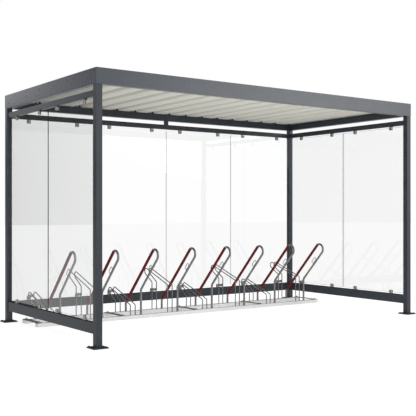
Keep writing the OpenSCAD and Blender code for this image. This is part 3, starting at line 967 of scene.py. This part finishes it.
def ray_kinds(node):
    """Light Path's outputs, whether a ray is seen by the eye or through glass alone, and
    whether it is seen in gloss."""
    path = node("LightPath").outputs
    bounced = node("Math", {0: path["Diffuse Depth"], 1: path["Glossy Depth"]}, operation="ADD")
    direct = node("Math", {0: bounced.outputs[0], 1: 0.5}, operation="LESS_THAN")
    view = node("Math", {0: path["Is Camera Ray"], 1: path["Is Transmission Ray"]},
                operation="MAXIMUM")
    straight = node("Math", {0: view.outputs[0], 1: direct.outputs[0]}, operation="MULTIPLY")
    depth = node("Math", {0: path["Glossy Depth"], 1: path["Is Glossy Ray"]}, operation="MAXIMUM")
    mirrored = node("Math", {0: depth.outputs[0], 1: 1.0}, operation="MINIMUM")
    return path, straight.outputs[0], mirrored.outputs[0]


def studio_floor():
    """Pale floor: white to the eye, with a soft shadow under the shelter. Glass lets through
    its white, and gloss sees it as a darker grey."""
    size, below = 60, 0.5 * MM
    mesh = bpy.data.meshes.new("floor")
    mesh.from_pydata([(-size, -size, -below), (size, -size, -below), (size, size, -below),
                      (-size, size, -below)], [], [(0, 1, 2, 3)])
    floor = bpy.data.objects.new("floor", mesh)
    bpy.context.scene.collection.objects.link(floor)
    f = Finish("floor_white")
    path, straight, mirrored = ray_kinds(f.node)
    diffuse = f.node("BsdfDiffuse", {"Color": (0.4, 0.4, 0.4, 1)})
    glow = f.node("Emission", {"Strength": f.ranged(path["Is Camera Ray"], FLOOR_BOUNCE,
                                                    FLOOR_SEEN)})
    lit = f.node("AddShader", {0: diffuse.outputs["BSDF"], 1: glow.outputs["Emission"]})
    plain = f.node("Emission", {"Strength": f.ranged(straight, FLOOR_IN_GLOSS, 1.0)})
    through = f.math("MULTIPLY", straight, path["Is Transmission Ray"])
    mix = f.node("MixShader", {"Fac": f.math("MAXIMUM", mirrored, through),
                               1: lit.outputs["Shader"], 2: plain.outputs["Emission"]})
    f.tree.links.new(mix.outputs["Shader"], f.output.inputs["Surface"])
    f.tree.nodes.remove(f.shader)
    mesh.materials.append(f.material)


def studio_world():
    """White to the eye and through glass. Gloss sees it darker towards the rear left, and
    other rays get more light from the front right than from there."""
    world = bpy.data.worlds.new("studio")
    bpy.context.scene.world = world
    world.use_nodes = True
    tree = world.node_tree
    tree.nodes.clear()
    node = node_maker(tree)
    _, straight, mirrored = ray_kinds(node)
    coords = node("TexCoord").outputs["Generated"]

    def towards(side, start, end, low, high):
        """Level that goes from low to high as a direction turns towards a side."""
        dot = node("VectorMath", {0: coords, 1: side}, operation="DOT_PRODUCT").outputs["Value"]
        return node("MapRange", {"Value": dot, "From Min": start, "From Max": end, "To Min": low,
                                 "To Max": high}, interpolation_type="SMOOTHSTEP").outputs[0]

    ambient = towards(LIGHT_SIDE, -1, 1, AMBIENT_LOW, AMBIENT_HIGH)
    gloss = towards(DARK_SIDE, -0.1, 0.8, 1.0, GLOSS_DARK)
    lit = node("Mix", {"Factor": mirrored, 2: ambient, 3: gloss}, data_type="FLOAT").outputs[0]
    level = node("Mix", {"Factor": straight, 2: lit, 3: 1.0}, data_type="FLOAT").outputs[0]
    background = node("Background", {"Color": (1, 1, 1, 1), "Strength": level})
    node("OutputWorld", {"Surface": background.outputs[0]})


def soft_lamp(name, at, aim, width, height, power):
    """Oval lamp that gloss shows, but not glass or the camera."""
    lamp = bpy.data.lights.new(name, "AREA")
    lamp.shape = "ELLIPSE"
    lamp.size, lamp.size_y = width, height
    lamp.energy = power
    obj = bpy.data.objects.new(name, lamp)
    bpy.context.scene.collection.objects.link(obj)
    obj.location = at
    obj.rotation_euler = (Vector(aim) - Vector(at)).to_track_quat("-Z", "Y").to_euler()
    obj.visible_camera = False
    obj.visible_transmission = False


def studio_camera():
    """Level camera, low in front of the left end, its picture shifted up a little."""
    camera = bpy.data.cameras.new("camera")
    camera.sensor_width = 36
    camera.lens = 68.78
    camera.shift_y = 0.0093
    camera.clip_start, camera.clip_end = 0.05, 400
    obj = bpy.data.objects.new("camera", camera)
    bpy.context.scene.collection.objects.link(obj)
    obj.location = (-5.2624, -7.2393, 1.1899)
    obj.rotation_euler = (math.radians(90), 0, math.radians(-35.492))
    bpy.context.scene.camera = obj


studio_camera()
studio_floor()
studio_world()
soft_lamp("key_lamp", (19, -23, 5.8), (0, 0, 1.5), 13, 6, 900)
soft_lamp("rear_lamp", (-6.2, 20.7, 6.2), (-2, 0, 2.3), 5, 2.6, 215)

finish_frame()
frame_welds()
post_anchors()
roof_sheets()
rib_fillers()
roof_screws()
fascia_rivets()
glass_panes()
glass_clamps()
leaning_hoops()
wheel_holders()
rack_anchors()

bpy.context.scene.view_settings.view_transform = "Standard"
